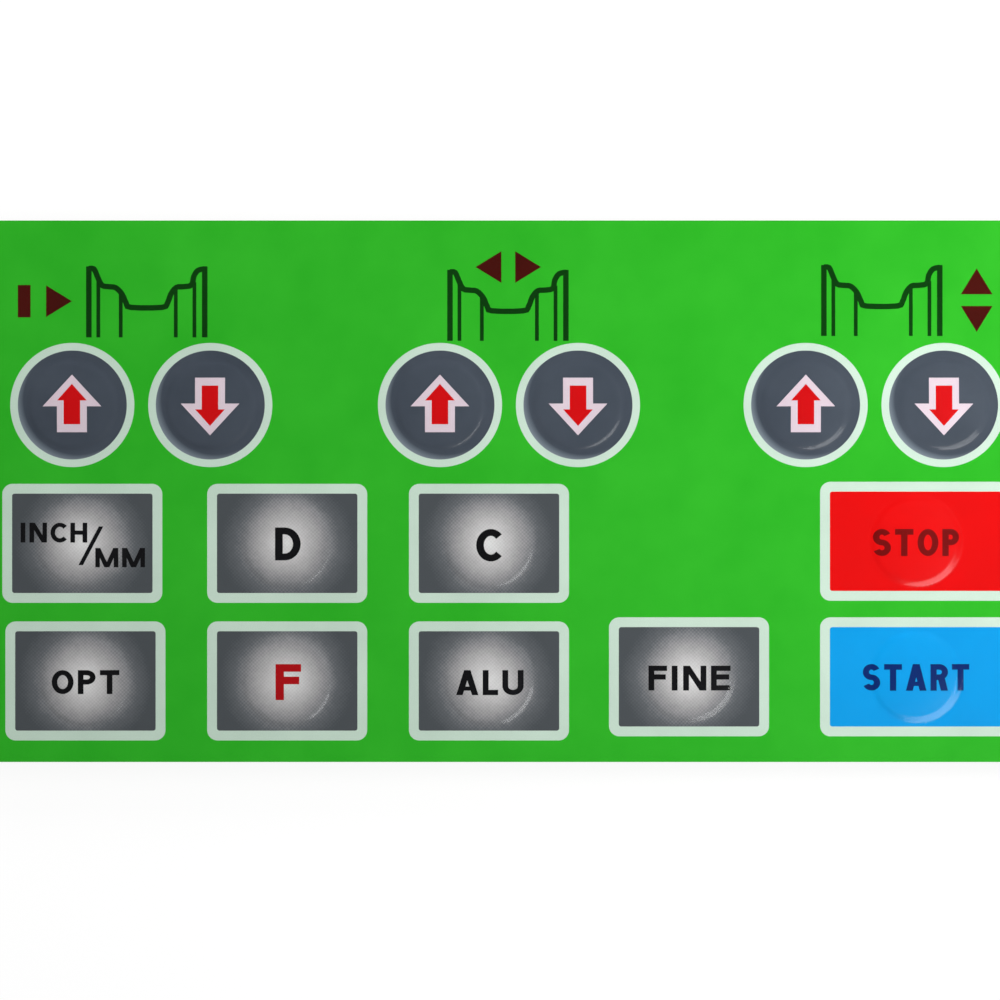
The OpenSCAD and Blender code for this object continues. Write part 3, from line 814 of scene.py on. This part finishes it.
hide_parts("blue_print")
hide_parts("sign_line_print")
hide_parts("sign_arrow_print")

front_film = sheet("front_film", LAYERS, FILM_GAP, FILM_T, clear_film())
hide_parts("overlay_film")

# Solder on the connector's joints: how far a fillet spreads and rises, in millimetres

CONTACT_SOLDER = (0.2, 0.16)
TAB_SOLDER = (0.24, 0.2)
TAIL_GAP = 0.3
TAB_INSET = 0.25
FILLET_STEPS = 5
CORNER_STEPS = 3
CORNER_R = 0.08
CORNER_GROWTH = 0.6


def fillet(points, faces, x0, y0, x1, y1, spread, height):
    """Adds one hollow-sided fillet round a rectangle, hanging from its pad."""
    rings = []
    for k in range(FILLET_STEPS + 1):
        turn = k / FILLET_STEPS * math.pi / 2
        grow = spread * (1 - math.sin(turn))
        z = COPPER_REAR - height * (1 - math.cos(turn))
        rings.append(len(points))
        w, h = x1 - x0 + 2 * grow, y1 - y0 + 2 * grow
        corner_r = CORNER_R + grow * CORNER_GROWTH
        outline = rounded((x0 + x1) / 2, (y0 + y1) / 2, w, h, corner_r, CORNER_STEPS)
        points += [(px, py, z) for px, py in outline]
    n = 4 * (CORNER_STEPS + 1)
    for a, b in zip(rings, rings[1:]):
        for i in range(n):
            j = (i + 1) % n
            faces.append([a + i, b + i, b + j, a + j])
    faces.append([rings[-1] + i for i in reversed(range(n))])
    faces.append([rings[0] + i for i in range(n)])


def solder_joints():
    """Fillets round each contact's tail and each tab's foot."""
    points, faces = [], []
    housing_low, housing_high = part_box("connector_housing")
    for i in range(1, 11):
        low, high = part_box(f"connector_contact_{i}")
        back = housing_high[1] / MM + TAIL_GAP
        fillet(points, faces, low[0] / MM, back, high[0] / MM, high[1] / MM, *CONTACT_SOLDER)
    low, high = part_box("connector_tab_left")
    inner = housing_low[0] / MM - TAB_INSET
    fillet(points, faces, low[0] / MM, low[1] / MM, inner, high[1] / MM, *TAB_SOLDER)
    low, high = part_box("connector_tab_right")
    inner = housing_high[0] / MM + TAB_INSET
    fillet(points, faces, inner, low[1] / MM, high[0] / MM, high[1] / MM, *TAB_SOLDER)
    return points, faces


solder_points, solder_faces = solder_joints()
SOLDER = metal("solder", (168, 170, 174), (206, 208, 212), rough=(0.2, 0.36), grain=0.6)
made_mesh("solder_joints", solder_points, solder_faces, SOLDER)

# CAD pieces that keep their own mesh

CAD_LOOKS = {
    "overlay_adhesive": plastic("adhesive_sheet", (214, 216, 206), (226, 228, 220), roughness=0.5),
    "dome_spacer": plastic("spacer_sheet", (196, 204, 210), (214, 220, 226), roughness=0.42),
    "circuit_board": solder_mask(),
    "front_copper": metal(
        "gold_plate", (205, 150, 62), (226, 178, 88), rough=(0.22, 0.34), grain=1.5,
    ),
    "rear_copper": masked_copper(),
    "plated_holes": metal(
        "hole_plating", (190, 170, 110), (214, 196, 140), rough=(0.25, 0.4),
    ),
    "connector_housing": plastic(
        "connector_plastic", (222, 214, 190), (234, 227, 205), roughness=0.4,
    ),
    "rear_gasket": foam(),
}
DOME_STEEL = metal(
    "dome_steel", (150, 152, 155), (198, 200, 203),
    rough=(0.2, 0.34), grain=0.5, stretch=(1, 8, 1),
)
TINNED = metal("tinned_contact", (176, 174, 166), (214, 212, 204), rough=(0.2, 0.34))
for number in range(1, 16):
    CAD_LOOKS[f"snap_dome_{number}"] = DOME_STEEL
for number in range(1, 11):
    CAD_LOOKS[f"connector_contact_{number}"] = TINNED
CAD_LOOKS["connector_tab_left"] = TINNED
CAD_LOOKS["connector_tab_right"] = TINNED
for node_name, look in CAD_LOOKS.items():
    node_mesh = frame["nodes"][node_name].data
    node_mesh.materials.clear()
    node_mesh.materials.append(look)

# Floor, light and camera, in metres

FLOOR_REACH = 3.0
FLOOR_DROP = 0.00002
FLOOR_GREY = (0.8, 0.8, 0.8, 1)
# How white the floor looks, and the share of it that isn't the shaded surface
FLOOR_GLOW = 1.1
FLOOR_GLOW_SHARE = 0.8


def either(nodes, links, first, second):
    """1 where one of two sockets is 1."""
    made = nodes.new("ShaderNodeMath")
    made.operation = "MAXIMUM"
    links.new(first, made.inputs[0])
    links.new(second, made.inputs[1])
    return made.outputs[0]


def blend(nodes, links, factor, first, second):
    """Mix of two shaders."""
    made = nodes.new("ShaderNodeMixShader")
    links.new(factor, made.inputs["Fac"])
    links.new(first, made.inputs[1])
    links.new(second, made.inputs[2])
    return made.outputs[0]


def floor_white():
    """White to the camera and to mirrors, with the part's shadow, and clear from below."""
    material = bpy.data.materials.new("floor_white")
    material.use_nodes = True
    nodes, links = material.node_tree.nodes, material.node_tree.links
    base = nodes["Principled BSDF"]
    base.inputs["Base Color"].default_value = FLOOR_GREY
    base.inputs["Roughness"].default_value = 0.9
    base.inputs["Specular IOR Level"].default_value = 0.1
    glow = nodes.new("ShaderNodeEmission")
    glow.inputs["Color"].default_value = WHITE
    glow.inputs["Strength"].default_value = FLOOR_GLOW
    rays = nodes.new("ShaderNodeLightPath").outputs
    share = nodes.new("ShaderNodeMath")
    share.operation = "MULTIPLY"
    share.inputs[1].default_value = FLOOR_GLOW_SHARE
    links.new(either(nodes, links, rays["Is Camera Ray"], rays["Is Glossy Ray"]), share.inputs[0])
    above = blend(nodes, links, share.outputs[0], base.outputs[0], glow.outputs[0])
    clear = nodes.new("ShaderNodeBsdfTransparent")
    facing = nodes.new("ShaderNodeNewGeometry")
    both = blend(nodes, links, facing.outputs["Backfacing"], above, clear.outputs[0])
    links.new(both, nodes["Material Output"].inputs["Surface"])
    return material


def floor():
    reach = FLOOR_REACH
    corners = [(-reach, -reach, 0), (reach, -reach, 0), (reach, reach, 0), (-reach, reach, 0)]
    mesh = bpy.data.meshes.new("floor")
    mesh.from_pydata(corners, [], [(0, 1, 2, 3)])
    ground = bpy.data.objects.new("floor", mesh)
    ground.location.z = -FLOOR_DROP
    ground.visible_shadow = False
    bpy.context.scene.collection.objects.link(ground)
    mesh.materials.append(floor_white())


def lamp(name, place, size, watts, mirrored=True):
    """Rectangular lamp at a place, turned to the part's middle."""
    data = bpy.data.lights.new(name, "AREA")
    data.shape = "RECTANGLE"
    data.size, data.size_y = size
    data.energy = watts
    light = bpy.data.objects.new(name, data)
    light.location = place
    light.rotation_euler = (-Vector(place)).to_track_quat("-Z", "Y").to_euler()
    light.visible_camera = False
    light.visible_glossy = mirrored
    bpy.context.scene.collection.objects.link(light)


# Even light from all round. Metal mirrors the white background below, and the film a dim sky.
SKY = 0.36
MIRRORED_SKY = 0.06
HORIZON = 0.02


def world():
    """White to the camera, and what each kind of surface mirrors of it."""
    made = bpy.data.worlds.new("studio")
    bpy.context.scene.world = made
    made.use_nodes = True
    nodes, links = made.node_tree.nodes, made.node_tree.links
    soft = nodes["Background"]
    soft.inputs["Color"].default_value = WHITE
    soft.inputs["Strength"].default_value = SKY
    direction = nodes.new("ShaderNodeTexCoord")
    split = nodes.new("ShaderNodeSeparateXYZ")
    links.new(direction.outputs["Generated"], split.inputs["Vector"])
    upwards = nodes.new("ShaderNodeMapRange")
    upwards.inputs["From Min"].default_value = -HORIZON
    upwards.inputs["From Max"].default_value = HORIZON
    upwards.inputs["To Min"].default_value = 1
    upwards.inputs["To Max"].default_value = MIRRORED_SKY
    links.new(split.outputs["Z"], upwards.inputs["Value"])
    mirrored = nodes.new("ShaderNodeBackground")
    mirrored.inputs["Color"].default_value = WHITE
    links.new(upwards.outputs["Result"], mirrored.inputs["Strength"])
    seen = nodes.new("ShaderNodeBackground")
    seen.inputs["Color"].default_value = WHITE
    seen.inputs["Strength"].default_value = 1
    rays = nodes.new("ShaderNodeLightPath").outputs
    reflected = either(nodes, links, rays["Is Glossy Ray"], rays["Is Transmission Ray"])
    lit = blend(nodes, links, reflected, soft.outputs[0], mirrored.outputs[0])
    sky = blend(nodes, links, rays["Is Camera Ray"], lit, seen.outputs[0])
    links.new(sky, nodes["World Output"].inputs["Surface"])


CAMERA_PLACE = (-0.001, -0.00127, 0.4077)
SENSOR_MM = 36
LENS_MM = 100


def camera():
    """Straight above, at the photograph's framing."""
    data = bpy.data.cameras.new("camera")
    data.sensor_width = SENSOR_MM
    data.lens = LENS_MM
    view = bpy.data.objects.new("camera", data)
    view.location = CAMERA_PLACE
    bpy.context.scene.collection.objects.link(view)
    bpy.context.scene.camera = view


floor()
world()
# The softbox draws the bright arcs on the domes; the two small lamps only shade the panel
lamp("rim_softbox", place=(0.235, -0.249, 0.46), size=(0.317, 0.205), watts=0.693)
lamp("right_key", place=(0.105, 0.023, 0.115), size=(0.06, 0.06), watts=0.114, mirrored=False)
lamp("top_fill", place=(-0.1, 0.215, 0.12), size=(0.1, 0.1), watts=0.29, mirrored=False)
lamp("rear_fill", place=(0.15, -0.25, -0.5), size=(0.4, 0.4), watts=2.2)
camera()
bpy.context.scene.view_settings.view_transform = "Standard"
